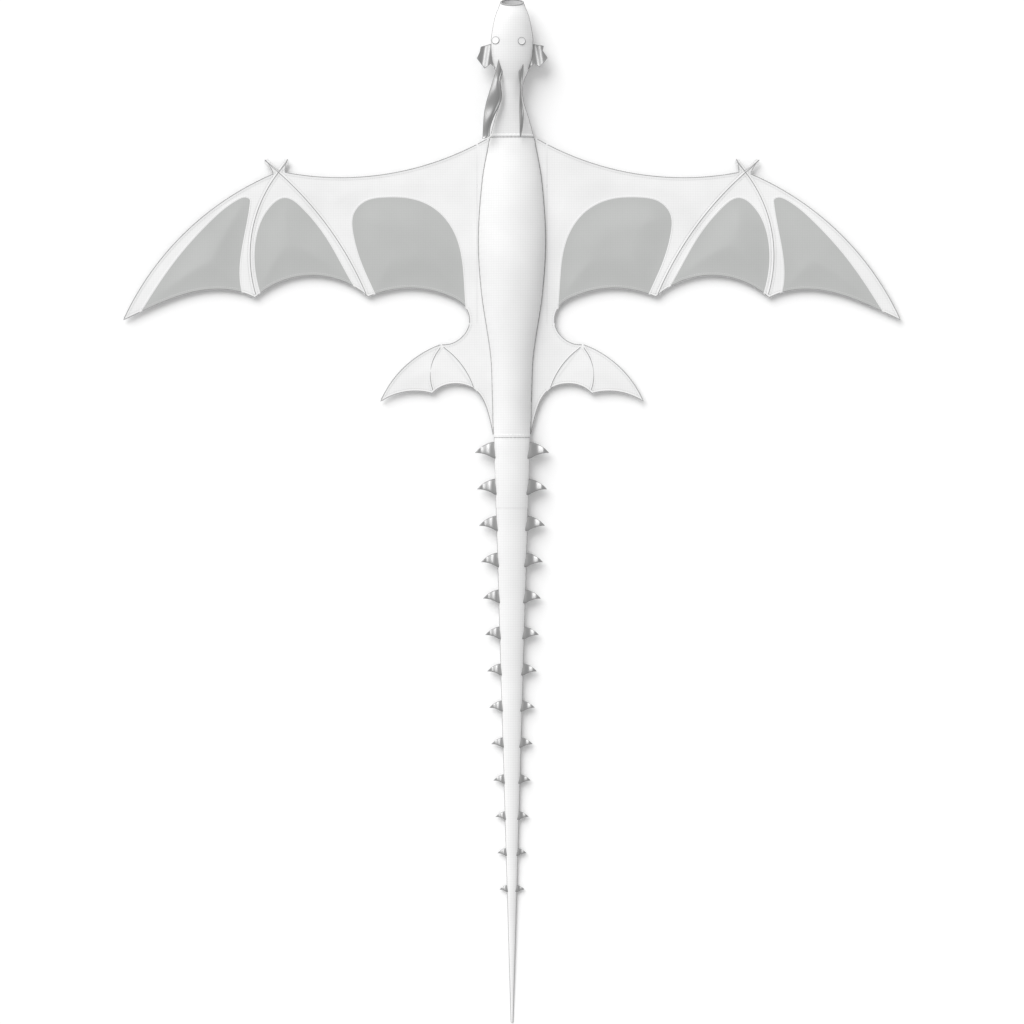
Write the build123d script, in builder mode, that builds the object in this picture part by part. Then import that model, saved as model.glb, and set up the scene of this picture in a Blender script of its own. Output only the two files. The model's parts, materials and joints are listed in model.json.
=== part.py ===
from build123d import *
import math
import os

# Single line dragon kite, lying on its belly with the back up.
# X is across the wings, +Y is toward the head, Z = 0 is the surface it lies on.

os.makedirs("parts", exist_ok=True)

# ---- driving dimensions, mm ----
WING_SPAN = 1600.0
TAIL_LENGTH = 1205.0
TAIL_HALF_WIDTH = 37.0
CLOTH = 1.0                 # thickness that stands in for sail cloth
PANEL_WALL = 2.0            # wall of the air filled body and head
SPINE_RADIUS = 3.0
SPREADER_RADIUS = 2.5
FINGER_RADIUS = 1.5
BATTEN_RADIUS = 1.25        # leading edge rods and leg ribs
TUBE_WALL = 1.5             # vinyl and ferrule tubes
HINGE_GAP = 0.3             # between cloth panels that fold against each other
TRIM = 4.0                  # windows are drawn this far past the sail's rear edge, then trimmed to it

# ---- levels above the surface ----
FLAP_TOP = 1.2
UNDER_CLEAR = 0.6           # the vinyl joiners clear the surface by this much
SAIL_CLEAR = 0.4            # and the sail by this much
SPREADER_Z = UNDER_CLEAR + TUBE_WALL + SPREADER_RADIUS
SAIL_BOTTOM = SPREADER_Z + SPREADER_RADIUS + TUBE_WALL + SAIL_CLEAR
SAIL_TOP = SAIL_BOTTOM + CLOTH
SPINE_Z = SAIL_TOP + SPINE_RADIUS + TUBE_WALL
BATTEN_Z = SAIL_BOTTOM - BATTEN_RADIUS
INNER_FINGER_Z = SAIL_BOTTOM - FINGER_RADIUS
OUTER_FINGER_Z = INNER_FINGER_Z - 2 * FINGER_RADIUS - HINGE_GAP

# ---- stations along the body ----
NECK_Y = 772.0
TAIL_Y = 152.0
MOUTH_Y = 1053.0
SPREADER_Y = 669.0
FOLD_X = 72.0               # the wings fold up about the lines x = +-FOLD_X
NOTCH_Y = 385.0             # the wing panel ends here, the leg panel begins
NECK_Z = 20.0               # height of the neck hinge
NECK_HALF_WIDTH = 44.5
HEAD_UP, HEAD_DOWN = 25.0, 20.0
TAIL_BEND = 30.0
BEND_SPARE = 2.0            # extra angle cut away beside each bend

# The wing pattern is drafted for a panel that reaches 728 mm past its fold line,
# and is let out or taken in along X to the span.
PATTERN_REACH = 728.0
LET_OUT = (WING_SPAN / 2 - FOLD_X) / PATTERN_REACH


def pattern(x, y):
    """A point of the drafted wing pattern, let out to the span beyond the fold line."""
    if x <= FOLD_X:
        return (x, y)
    return (FOLD_X + (x - FOLD_X) * LET_OUT, y)


def points(*pairs):
    return [pattern(x, y) for x, y in pairs]


WRIST_IN, WRIST_OUT = points((467, 697), (491, 694))
CLAW_IN, CLAW_V, CLAW_OUT = points((461, 725), (479.5, 700), (509, 723))
WING_TIP, OUTER_TIP, INNER_TIP = points((800, 393), (529, 439), (296, 441))
LEG_WRIST, LEG_TIP, LEG_MID, LEG_IN = points((146, 343), (271, 225), (164, 242), (75, 249))
INNER_BOW, OUTER_BOW, EDGE_BOW = 21.0, 37.5, 40.5
LEG_BOW, RIB_BOW = 18.0, 12.0
CLAW_HOLLOW = 1.8
FRONT_BOW, MIDDLE_BOW, LEG_REAR_BOW = 39.0, 45.0, 12.0
SAIL_FRONT = NECK_Y - 2     # the sail stops short of the neck seam
SAIL_REAR_HALF_WIDTH = TAIL_HALF_WIDTH + 1


def save(builder, label):
    builder.part.label = label
    export_step(builder.part, f"parts/{label}.step")


def save_both(right, label):
    """Write a right hand piece and its mirror image."""
    save(right, f"{label}_right")
    with BuildPart() as left:
        mirror(right.part, about=Plane.YZ)
    save(left, f"{label}_left")


# ---------------------------------------------------------------- sail outline
with BuildSketch() as half_sail:
    with BuildLine():
        Line((0, SAIL_FRONT), (NECK_HALF_WIDTH, SAIL_FRONT))
        SagittaArc((NECK_HALF_WIDTH, SAIL_FRONT), WRIST_IN, -FRONT_BOW)
        SagittaArc(WRIST_IN, CLAW_IN, -CLAW_HOLLOW)
        Line(CLAW_IN, CLAW_V)
        Line(CLAW_V, CLAW_OUT)
        SagittaArc(CLAW_OUT, WRIST_OUT, -CLAW_HOLLOW)
        SagittaArc(WRIST_OUT, WING_TIP, EDGE_BOW)
        Spline(WING_TIP, *points((707, 435), (632, 455), (579, 455)), OUTER_TIP)
        SagittaArc(OUTER_TIP, INNER_TIP, -MIDDLE_BOW)
        Spline(INNER_TIP, *points((206, 459), (136, 445), (95, 418), (88, NOTCH_Y), (103, 358)), LEG_WRIST)
        SagittaArc(LEG_WRIST, LEG_TIP, LEG_BOW)
        SagittaArc(LEG_TIP, LEG_MID, -LEG_REAR_BOW)
        Spline(LEG_MID, *points((121, 262), LEG_IN, (50, 205)), (SAIL_REAR_HALF_WIDTH, TAIL_Y))
        Line((SAIL_REAR_HALF_WIDTH, TAIL_Y), (0, TAIL_Y))
        Line((0, TAIL_Y), (0, SAIL_FRONT))
    make_face()

# ---------------------------------------------------------------- windows
with BuildSketch() as inner_window:
    with BuildLine():
        Spline(
            *points((278, 437), (306, 500), (327, 570), (326, 612), (305, 636), (259, 646)),
            *points((203, 642), (152, 617), (114, 563), (100, 496), (94, 413)),
        )
        Spline(*points((94, 413), (136, 445 - TRIM), (206, 459 - TRIM), (278, 437)))
    make_face()

with BuildSketch() as middle_window:
    with BuildLine():
        Spline(
            *points((515, 438), (530, 507), (523, 579), (503, 620), (468, 645)),
            *points((428, 620), (379, 558), (344, 496), (313, 443)),
        )
        ThreePointArc(*points((313, 443), (412, 485 - TRIM), (515, 438)))
    make_face()

with BuildSketch() as outer_window:
    with BuildLine():
        Spline(*points((553, 442), (560, 496), (552, 558), (544, 599), (538, 641)))
        Spline(*points((538, 641), (549, 646), (564, 641), (618, 599), (692, 517), (768, 403)))
        Spline(*points((768, 403), (700, 437 - TRIM), (632, 455 - TRIM), (579, 455 - TRIM), (553, 442)))
    make_face()

WINDOWS = {"window_inner": inner_window, "window_middle": middle_window, "window_outer": outer_window}

for window_name, window_sketch in WINDOWS.items():
    with BuildPart() as window:
        with BuildSketch(Plane.XY.offset(SAIL_BOTTOM)):
            add(window_sketch.sketch)
            add(half_sail.sketch, mode=Mode.INTERSECT)
        extrude(amount=CLOTH)
    save_both(window, window_name)

# ---------------------------------------------------------------- wing sails
BIG = WING_SPAN + TAIL_LENGTH

with BuildSketch() as wing_zone:
    with Locations((FOLD_X, NOTCH_Y)):
        Rectangle(BIG, BIG, align=(Align.MIN, Align.MIN))

# The leg folds about the straight line from the leg wrist to the inner rib's end.
LEG_FOLD = Vector(*LEG_WRIST) - Vector(*LEG_IN)
LEG_OUT = Vector(LEG_FOLD.Y, -LEG_FOLD.X).normalized()
with BuildSketch() as leg_zone:
    with BuildLine():
        Polyline(
            Vector(*LEG_IN),
            Vector(*LEG_WRIST) + LEG_FOLD,
            Vector(*LEG_WRIST) + LEG_FOLD + LEG_OUT * BIG,
            Vector(*LEG_IN) + LEG_OUT * BIG,
            close=True,
        )
    make_face()

with BuildPart() as wing_sail:
    with BuildSketch(Plane.XY.offset(SAIL_BOTTOM)):
        with Locations((FOLD_X + HINGE_GAP / 2, NOTCH_Y + HINGE_GAP / 2)):
            Rectangle(BIG, BIG, align=(Align.MIN, Align.MIN))
        add(half_sail.sketch, mode=Mode.INTERSECT)
        for window_sketch in WINDOWS.values():
            add(window_sketch.sketch, mode=Mode.SUBTRACT)
    extrude(amount=CLOTH)
save_both(wing_sail, "wing_sail")

with BuildPart() as leg_sail:
    with BuildSketch(Plane.XY.offset(SAIL_BOTTOM)):
        with Locations(LEG_OUT * (HINGE_GAP / 2)):
            add(leg_zone.sketch)
        add(half_sail.sketch, mode=Mode.INTERSECT)
        add(wing_zone.sketch, mode=Mode.SUBTRACT)
    extrude(amount=CLOTH)
save_both(leg_sail, "leg_sail")

FITTING_WIDE, FITTING_LONG = 12.0, 24.0
GAP_REACH = 80.0            # the bend gaps are cut this far out from their hinge


def bend_gap(y, z, up, down):
    """The double wedge of room that lets two sections bend about X at (y, z)."""
    over = GAP_REACH * math.tan(math.radians(up / 2 + BEND_SPARE))
    under = GAP_REACH * math.tan(math.radians(down / 2 + BEND_SPARE))
    with BuildPart() as wedge:
        with BuildSketch(Plane.YZ):
            with BuildLine():
                Polyline(
                    (y - HINGE_GAP, z),
                    (y - HINGE_GAP - over, z + GAP_REACH),
                    (y + HINGE_GAP + over, z + GAP_REACH),
                    (y + HINGE_GAP, z),
                    (y + HINGE_GAP + under, z - GAP_REACH),
                    (y - HINGE_GAP - under, z - GAP_REACH),
                    close=True,
                )
            make_face()
        extrude(amount=GAP_REACH, both=True)
    return wedge.part


TAIL_FLAT = 0.56            # height of the tail tube as a share of its width
TIP_HALF_WIDTH = 1.6


def tail_half_width(y):
    """The tail tube tapers evenly from the body to its tip."""
    share = (TAIL_Y - y) / TAIL_LENGTH
    return TAIL_HALF_WIDTH + (TIP_HALF_WIDTH - TAIL_HALF_WIDTH) * share


def tail_z(y):
    """Height of the tail tube's centreline: the tube lies on the surface."""
    return tail_half_width(y) * TAIL_FLAT


neck_gap = bend_gap(NECK_Y, NECK_Z, HEAD_UP, HEAD_DOWN)
rump_gap = bend_gap(TAIL_Y, tail_z(TAIL_Y), TAIL_BEND, TAIL_BEND)

with BuildPart() as centre_sail:
    with BuildSketch(Plane.XY.offset(SAIL_BOTTOM)):
        add(half_sail.sketch)
        add(wing_zone.sketch, mode=Mode.SUBTRACT)
        with Locations(LEG_OUT * (-HINGE_GAP / 2)):
            add(leg_zone.sketch, mode=Mode.SUBTRACT)
        with Locations((FOLD_X - HINGE_GAP / 2, NOTCH_Y)):
            Rectangle(HINGE_GAP, BIG, align=(Align.MIN, Align.MIN), mode=Mode.SUBTRACT)
        mirror(about=Plane.YZ)
        with Locations((0, SPREADER_Y)):
            Rectangle(FITTING_WIDE, FITTING_LONG, mode=Mode.SUBTRACT)
    extrude(amount=CLOTH)
    add(neck_gap, mode=Mode.SUBTRACT)
    add(rump_gap, mode=Mode.SUBTRACT)
save(centre_sail, "centre_sail")

# ---------------------------------------------------------------- body and head panels
# Stations of the inflated body: (y, half width, height above the sail).
BODY_STATIONS = [
    (NECK_Y, NECK_HALF_WIDTH, 22.0),
    (680.0, 61.0, 34.0),
    (560.0, 69.0, 42.0),
    (450.0, 62.5, 40.0),
    (320.0, 43.5, 33.0),
    (240.0, 40.0, 31.0),
    (TAIL_Y, TAIL_HALF_WIDTH, 2 * tail_z(TAIL_Y) - SAIL_TOP),
]
HOOP_WIDTH = 3.0            # of the ring that holds the mouth open
# Stations of the head: (y, half width, half height, centre height).
HEAD_STATIONS = [
    (NECK_Y, NECK_HALF_WIDTH, 12.0, NECK_Z),
    (809.0, 34.0, 12.5, 20.0),
    (863.0, 22.0, 16.0, 23.0),
    (884.0, 25.0, 19.0, 25.0),
    (929.0, 40.5, 27.0, 29.0),
    (966.0, 43.0, 29.0, 29.5),
    (1011.0, 36.0, 24.0, 32.0),
    (1035.0, 29.0, 18.0, 34.0),
    (MOUTH_Y - HOOP_WIDTH, 24.0, 13.0, 35.0),
]


def across(y):
    """A plane across the body at y, with X across and Y up in it."""
    return Plane(origin=(0, y, 0), x_dir=(1, 0, 0), z_dir=(0, -1, 0))


with BuildPart() as back_panel:
    for y, half_width, height in BODY_STATIONS:
        with BuildSketch(across(y)):
            with BuildLine():
                dome = EllipticalCenterArc((0, SAIL_TOP), half_width, height, start_angle=0, arc_size=180)
                Line(dome @ 1, dome @ 0)
            make_face()
    loft()
    with BuildPart(mode=Mode.PRIVATE) as air:
        for y, half_width, height in BODY_STATIONS:
            with BuildSketch(across(y)):
                with BuildLine():
                    dome = EllipticalCenterArc(
                        (0, SAIL_TOP),
                        half_width - PANEL_WALL,
                        height - PANEL_WALL,
                        start_angle=0,
                        arc_size=180,
                    )
                    Line(dome @ 1, dome @ 0)
                make_face()
        loft()
    add(air.part, mode=Mode.SUBTRACT)
    add(neck_gap, mode=Mode.SUBTRACT)
    add(rump_gap, mode=Mode.SUBTRACT)
save(back_panel, "back_panel")

with BuildPart() as head_solid:
    for y, half_width, half_height, z in HEAD_STATIONS:
        with BuildSketch(across(y)):
            with Locations((0, z)):
                Ellipse(half_width, half_height)
    loft()

MOUTH_DEPTH = 4             # stations that the open mouth runs back through
with BuildPart() as mouth_air:
    for y, half_width, half_height, z in HEAD_STATIONS[-MOUTH_DEPTH:]:
        with BuildSketch(across(y)):
            with Locations((0, z)):
                Ellipse(half_width - PANEL_WALL, half_height - PANEL_WALL)
    loft()

with BuildPart() as head_sock:
    add(head_solid.part)
    add(mouth_air.part, mode=Mode.SUBTRACT)
    add(neck_gap, mode=Mode.SUBTRACT)
save(head_sock, "head_sock")

mouth_station = HEAD_STATIONS[-1]
with BuildPart() as mouth_hoop:
    with BuildSketch(across(mouth_station[0])):
        with Locations((0, mouth_station[3])):
            Ellipse(mouth_station[1], mouth_station[2])
            Ellipse(mouth_station[1] - PANEL_WALL, mouth_station[2] - PANEL_WALL, mode=Mode.SUBTRACT)
    extrude(amount=-HOOP_WIDTH)
save(mouth_hoop, "mouth_hoop")

# The eyes are flat discs let into the top of the head.
EYE_RADIUS, EYE_THICK = 7.6, 1.5
EYE_CUT_BOTTOM, EYE_CUT_HEIGHT = 30.0, 60.0
for eye_name, eye_x, eye_y in (("eye_left", -34.0, 966.0), ("eye_right", 20.0, 964.0)):
    with BuildPart() as eye:
        with BuildSketch(Plane.XY.offset(EYE_CUT_BOTTOM)):
            with Locations((eye_x, eye_y)):
                Circle(EYE_RADIUS)
        extrude(amount=EYE_CUT_HEIGHT)
        with BuildPart(mode=Mode.PRIVATE) as raised_head:
            add(head_solid.part.moved(Location((0, 0, EYE_THICK))))
        add(raised_head.part, mode=Mode.INTERSECT)
        add(head_solid.part, mode=Mode.SUBTRACT)
    save(eye, eye_name)

# Ears are pleated cloth fins sewn into the sides of the head.
EAR_Z, EAR_THICK = 30.0, 2.5
EARS = {
    "ear_right": [(30, 962), (65, 956), (63, 946), (73, 931), (57, 912), (46, 920), (30, 904)],
    "ear_left": [(-30, 964), (-64, 954), (-66, 943), (-72, 930), (-56, 909), (-44, 919), (-30, 906)],
}
for ear_name, ear_points in EARS.items():
    with BuildPart() as ear:
        with BuildSketch(Plane.XY.offset(EAR_Z - EAR_THICK / 2)):
            with BuildLine():
                Polyline(*ear_points, close=True)
            make_face()
        extrude(amount=EAR_THICK)
        add(head_solid.part, mode=Mode.SUBTRACT)
    save(ear, ear_name)

# Horns are long cloth tubes sewn to the top of the head, trailing back over the neck.
HORN_Z, HORN_THICK = 45.0, 7.0
HORNS = {
    "horn_left": (
        [(-24, 932), (-17, 906), (-22, 880), (-18, 857), (-31, 817), (-44, 768)],
        [(-62, 762), (-61, 792), (-57, 832), (-51, 853), (-41, 884), (-34, 906), (-27, 932)],
    ),
    "horn_right": (
        [(16, 932), (12, 906), (15, 878), (14.5, 842), (14.5, 800), (16, 766)],
        [(18.5, 766), (24.5, 802), (24.5, 821), (21, 842), (21, 874), (24.5, 906), (19, 932)],
    ),
}
for horn_name, (inner_edge, outer_edge) in HORNS.items():
    with BuildPart() as horn:
        with BuildSketch(Plane.XY.offset(HORN_Z - HORN_THICK / 2)):
            with BuildLine():
                Spline(*inner_edge)
                Line(inner_edge[-1], outer_edge[0])
                Spline(*outer_edge)
                Line(outer_edge[-1], inner_edge[0])
            make_face()
        extrude(amount=HORN_THICK)
        add(head_solid.part, mode=Mode.SUBTRACT)
    save(horn, horn_name)


# ---------------------------------------------------------------- tail and its spikes
SPIKE_COUNT = 13
SPIKE_FIRST_DROP = 8.5      # from the body's rear seam to the first pair
SPIKE_LAST_BARE = 283.0     # from the last pair to the tail's tip
SPIKE_PITCH = (TAIL_LENGTH - SPIKE_FIRST_DROP - SPIKE_LAST_BARE) / (SPIKE_COUNT - 1)
SPIKE_THICK = 2.5
SPIKE_SUNK = 0.93           # spike roots start at this share of the tail's half width
SPIKE_SWEEP = 0.62          # how far back the tip lies, as a share of the root
SPIKE_FRONT_BOW, SPIKE_REAR_BOW = 0.12, 0.10
TAIL_BREAKS = (4, 7, 10)    # the tail bends just ahead of these pairs


def spike_y(pair):
    return TAIL_Y - SPIKE_FIRST_DROP - SPIKE_PITCH * pair


def spike_root(pair):
    """Length of a spike's seam on the tail; each pair is smaller than the one before."""
    return 38.6 - 1.95 * pair


def spike_reach(pair):
    """How far a spike stands out from the tail."""
    return 40.0 - 2.0 * pair


bend_ys = [TAIL_Y]
for pair in TAIL_BREAKS:
    bend_ys.append((spike_y(pair - 1) - spike_root(pair - 1) + spike_y(pair)) / 2)
end_ys = bend_ys[1:] + [TAIL_Y - TAIL_LENGTH]

for number, (start_y, end_y) in enumerate(zip(bend_ys, end_ys), start=1):
    with BuildPart() as tail:
        for y in (start_y, end_y):
            with BuildSketch(across(y)):
                with Locations((0, tail_z(y))):
                    Ellipse(tail_half_width(y), tail_z(y))
        loft(ruled=True)
        add(bend_gap(start_y, tail_z(start_y), TAIL_BEND, TAIL_BEND), mode=Mode.SUBTRACT)
        if end_y != end_ys[-1]:
            add(bend_gap(end_y, tail_z(end_y), TAIL_BEND, TAIL_BEND), mode=Mode.SUBTRACT)
    save(tail, f"tail_{number}")

with BuildPart() as tail_whole:
    for y in (TAIL_Y + 1, TAIL_Y - TAIL_LENGTH):
        with BuildSketch(across(y)):
            with Locations((0, tail_z(y))):
                Ellipse(tail_half_width(y), tail_z(y))
    loft(ruled=True)

# Each spike sweeps back: its front edge is full and its rear edge is hollow.
for pair in range(SPIKE_COUNT):
    root_y = spike_y(pair)
    mid_y = root_y - spike_root(pair) / 2
    root_x = tail_half_width(root_y) * SPIKE_SUNK
    tip = (tail_half_width(mid_y) + spike_reach(pair), root_y - SPIKE_SWEEP * spike_root(pair))
    with BuildPart() as spikes:
        with BuildSketch(Plane.XY.offset(tail_z(mid_y) - SPIKE_THICK / 2)):
            with BuildLine():
                SagittaArc((root_x, root_y), tip, SPIKE_FRONT_BOW * spike_reach(pair))
                SagittaArc(tip, (root_x, root_y - spike_root(pair)), -SPIKE_REAR_BOW * spike_reach(pair))
                Line((root_x, root_y - spike_root(pair)), (root_x, root_y))
            make_face()
            mirror(about=Plane.YZ)
        extrude(amount=SPIKE_THICK)
        add(tail_whole.part, mode=Mode.SUBTRACT)
    save(spikes, f"tail_spikes_{pair + 1:02d}")


# ---------------------------------------------------------------- rods and fittings
def rod_along_y(radius, start_y, end_y, z):
    with BuildPart() as rod:
        with BuildSketch(across(start_y)):
            with Locations((0, z)):
                Circle(radius)
        extrude(amount=start_y - end_y)
    return rod


SPINE_FRONT_Y, SPINE_JOINT_Y, SPINE_REAR_Y = 755.0, 400.0, 168.0
FERRULE_HALF = 32.0
save(rod_along_y(SPINE_RADIUS, SPINE_FRONT_Y, SPINE_JOINT_Y, SPINE_Z), "spine_front")
save(rod_along_y(SPINE_RADIUS, SPINE_JOINT_Y, SPINE_REAR_Y, SPINE_Z), "spine_rear")

with BuildPart() as spine_ferrule:
    with BuildSketch(across(SPINE_JOINT_Y + FERRULE_HALF)):
        with Locations((0, SPINE_Z)):
            Circle(SPINE_RADIUS + TUBE_WALL)
            Circle(SPINE_RADIUS, mode=Mode.SUBTRACT)
    extrude(amount=2 * FERRULE_HALF)
save(spine_ferrule, "spine_ferrule")


def tube_across(radius, bore, start_x, end_x):
    """A rod or tube on the spreader's line; bore 0 makes it solid."""
    with BuildPart() as tube:
        with BuildSketch(Plane(origin=(start_x, SPREADER_Y, SPREADER_Z), x_dir=(0, 1, 0), z_dir=(1, 0, 0))):
            Circle(radius)
            if bore > 0:
                Circle(bore, mode=Mode.SUBTRACT)
        extrude(amount=end_x - start_x)
    return tube


ARM_START = FOLD_X + HINGE_GAP
ARM_END = pattern(442.0, 0)[0]
JOINER_LENGTH = 34.0
spreader_centre = tube_across(SPREADER_RADIUS, 0, -FOLD_X + HINGE_GAP, FOLD_X - HINGE_GAP)
save(spreader_centre, "spreader_centre")
spreader_arm = tube_across(SPREADER_RADIUS, 0, ARM_START, ARM_END)
save_both(spreader_arm, "spreader_arm")
save_both(
    tube_across(SPREADER_RADIUS + TUBE_WALL, SPREADER_RADIUS, ARM_START, ARM_START + JOINER_LENGTH),
    "wing_joiner",
)

# The cross fitting passes through a slot in the sail and holds spine and spreader.
FITTING_BOTTOM = FLAP_TOP + HINGE_GAP
with BuildPart() as cross_fitting:
    with BuildSketch(Plane.XY.offset(FITTING_BOTTOM)):
        with Locations((0, SPREADER_Y)):
            Rectangle(FITTING_WIDE, FITTING_LONG)
    extrude(amount=SPINE_Z + SPINE_RADIUS + TUBE_WALL - FITTING_BOTTOM)
    with BuildPart(mode=Mode.PRIVATE) as spine_bore:
        with BuildSketch(across(SPREADER_Y + FITTING_LONG)):
            with Locations((0, SPINE_Z)):
                Circle(SPINE_RADIUS)
        extrude(amount=2 * FITTING_LONG)
    add(spine_bore.part, mode=Mode.SUBTRACT)
    add(spreader_centre.part, mode=Mode.SUBTRACT)
save(cross_fitting, "cross_fitting")


def bowed_rod(start, end, bow, radius, z):
    """A rod of one radius sprung into an arc between two points of the pattern."""
    with BuildPart() as rod:
        with BuildLine() as path:
            SagittaArc((*start, z), (*end, z), bow)
        with BuildSketch(Plane(origin=path.line @ 0, z_dir=path.line % 0)):
            Circle(radius)
        sweep()
    return rod


def short_of(start, end, inset):
    """The two ends moved toward each other along the chord by the inset."""
    along = (Vector(*end) - Vector(*start)).normalized() * inset
    return tuple(Vector(*start) + along)[:2], tuple(Vector(*end) - along)[:2]


ROD_END_INSET = 7.0
inner_ends = short_of(CLAW_OUT, INNER_TIP, ROD_END_INSET)
inner_finger = bowed_rod(*inner_ends, -INNER_BOW, FINGER_RADIUS, INNER_FINGER_Z)
save_both(inner_finger, "finger_rod_inner")
outer_ends = short_of(CLAW_IN, OUTER_TIP, ROD_END_INSET)
outer_finger = bowed_rod(*outer_ends, OUTER_BOW, FINGER_RADIUS, OUTER_FINGER_Z)
save_both(outer_finger, "finger_rod_outer")

EDGE_INSET = 5.0
edge_start = (WRIST_OUT[0] - EDGE_INSET / 2, WRIST_OUT[1] - EDGE_INSET)
edge_end = (WING_TIP[0] - EDGE_INSET, WING_TIP[1])
leading_rod = bowed_rod(*short_of(edge_start, edge_end, ROD_END_INSET), EDGE_BOW, BATTEN_RADIUS, BATTEN_Z)
save_both(leading_rod, "leading_edge_rod")

outer_rib = bowed_rod(*short_of(LEG_WRIST, LEG_MID, ROD_END_INSET), RIB_BOW, BATTEN_RADIUS, BATTEN_Z)
save_both(outer_rib, "leg_rib_outer")
INNER_RIB_BOW = 8.5
inner_rib = bowed_rod(*short_of(LEG_WRIST, LEG_IN, ROD_END_INSET), -INNER_RIB_BOW, BATTEN_RADIUS, BATTEN_Z)
save_both(inner_rib, "leg_rib_inner")

# The wrist fitting plugs onto the spreader's end and clips the inner finger rod.
WRIST_LONG, WRIST_DEEP, WRIST_CORNER = 26.0, 13.0, 3.0
WRIST_BOTTOM = SPREADER_Z - SPREADER_RADIUS - TUBE_WALL / 2
WRIST_TOP = INNER_FINGER_Z + FINGER_RADIUS / 2
with BuildPart() as wrist_fitting:
    with BuildSketch(Plane.XY.offset(WRIST_BOTTOM)):
        with Locations((ARM_END + 2, SPREADER_Y)):
            RectangleRounded(WRIST_LONG, WRIST_DEEP, WRIST_CORNER)
    extrude(amount=WRIST_TOP - WRIST_BOTTOM)
    add(spreader_arm.part, mode=Mode.SUBTRACT)
    add(inner_finger.part, mode=Mode.SUBTRACT)
save_both(wrist_fitting, "wrist_fitting")

# ---------------------------------------------------------------- keel flap
# The towing flap is sewn along the belly's centre line and lies folded to the right.
KEEL_FRONT, KEEL_REAR = (0.5, 640.0), (0.5, 450.0)
KEEL_APEX = (88.0, 575.0)
EYELET_X, EYELET_Y = 72.0, 574.0
EYELET_BORE = 3.0
EYELET_RADIUS = EYELET_BORE + TUBE_WALL
with BuildPart() as keel_flap:
    with BuildSketch():
        with BuildLine():
            SagittaArc(KEEL_FRONT, KEEL_APEX, -6)
            SagittaArc(KEEL_APEX, KEEL_REAR, -12)
            Line(KEEL_REAR, KEEL_FRONT)
        make_face()
        with Locations((EYELET_X, EYELET_Y)):
            Circle(EYELET_RADIUS, mode=Mode.SUBTRACT)
    extrude(amount=FLAP_TOP)
save(keel_flap, "keel_flap")

with BuildPart() as tow_eyelet:
    with BuildSketch():
        with Locations((EYELET_X, EYELET_Y)):
            Circle(EYELET_RADIUS)
            Circle(EYELET_BORE, mode=Mode.SUBTRACT)
    extrude(amount=FLAP_TOP)
save(tow_eyelet, "tow_eyelet")
print("bend stations", [round(y, 1) for y in bend_ys], [round(tail_z(y), 2) for y in bend_ys])
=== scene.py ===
# %% [markdown]
# # A dragon kite, from its frame to its cloth
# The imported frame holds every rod, fitting and flat panel at its real size. This lesson
# dresses it: sails cut from the frame's own outlines, an air filled body and tail, pale
# bindings, rows of stitches, satin spikes and horns. Everything is in metres.

# %% Load the frame
import json
import math
import bpy
import bmesh
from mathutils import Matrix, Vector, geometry, kdtree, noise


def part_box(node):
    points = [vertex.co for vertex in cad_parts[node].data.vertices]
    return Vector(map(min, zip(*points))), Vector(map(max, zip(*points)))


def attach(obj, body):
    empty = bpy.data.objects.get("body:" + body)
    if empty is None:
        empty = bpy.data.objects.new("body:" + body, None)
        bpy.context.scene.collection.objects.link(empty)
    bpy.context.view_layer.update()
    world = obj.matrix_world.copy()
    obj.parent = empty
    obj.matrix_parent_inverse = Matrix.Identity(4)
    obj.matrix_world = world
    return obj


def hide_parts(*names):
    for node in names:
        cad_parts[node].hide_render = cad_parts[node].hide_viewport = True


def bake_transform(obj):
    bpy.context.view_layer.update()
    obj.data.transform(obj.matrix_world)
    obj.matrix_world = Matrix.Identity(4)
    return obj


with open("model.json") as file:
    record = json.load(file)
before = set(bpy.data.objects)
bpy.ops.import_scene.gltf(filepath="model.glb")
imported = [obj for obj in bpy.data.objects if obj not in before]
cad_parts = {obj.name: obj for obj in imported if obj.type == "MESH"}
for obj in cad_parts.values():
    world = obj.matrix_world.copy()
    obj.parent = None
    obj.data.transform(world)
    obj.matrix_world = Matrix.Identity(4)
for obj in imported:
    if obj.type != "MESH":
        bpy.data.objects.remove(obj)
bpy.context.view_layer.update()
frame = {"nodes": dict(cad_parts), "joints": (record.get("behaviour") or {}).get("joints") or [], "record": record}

nodes = frame["nodes"]

MM = 0.001
SIDES = {"right": 1, "left": -1}

# %% [markdown]
# ## Small helpers
# Each finished mesh needs a name, a material and a body to ride on. Doing that in one place
# keeps the later cells about the kite and not about bookkeeping.

# %% Helpers that every piece uses
def new_mesh(name, verts, faces):
    mesh = bpy.data.meshes.new(name)
    mesh.from_pydata([tuple(v) for v in verts], [], faces)
    mesh.update()
    obj = bpy.data.objects.new(name, mesh)
    bpy.context.scene.collection.objects.link(obj)
    return obj


def only(obj):
    """Select this object alone, so that the next operator acts on nothing else."""
    bpy.ops.object.select_all(action="DESELECT")
    obj.select_set(True)
    bpy.context.view_layer.objects.active = obj


def face_outwards(obj):
    work = bmesh.new()
    work.from_mesh(obj.data)
    bmesh.ops.remove_doubles(work, verts=work.verts, dist=1e-6)
    bmesh.ops.recalc_face_normals(work, faces=work.faces)
    work.to_mesh(obj.data)
    work.free()


def apply(obj, kind, **settings):
    """Add one modifier, set it up and apply it."""
    only(obj)
    modifier = obj.modifiers.new(kind.title(), kind)
    for key, value in settings.items():
        setattr(modifier, key, value)
    bpy.ops.object.modifier_apply(modifier=modifier.name)


def dress(obj, material, angle=40):
    obj.data.materials.clear()
    obj.data.materials.append(material)
    only(obj)
    bpy.ops.object.shade_smooth_by_angle(angle=math.radians(angle))
    return obj


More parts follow.
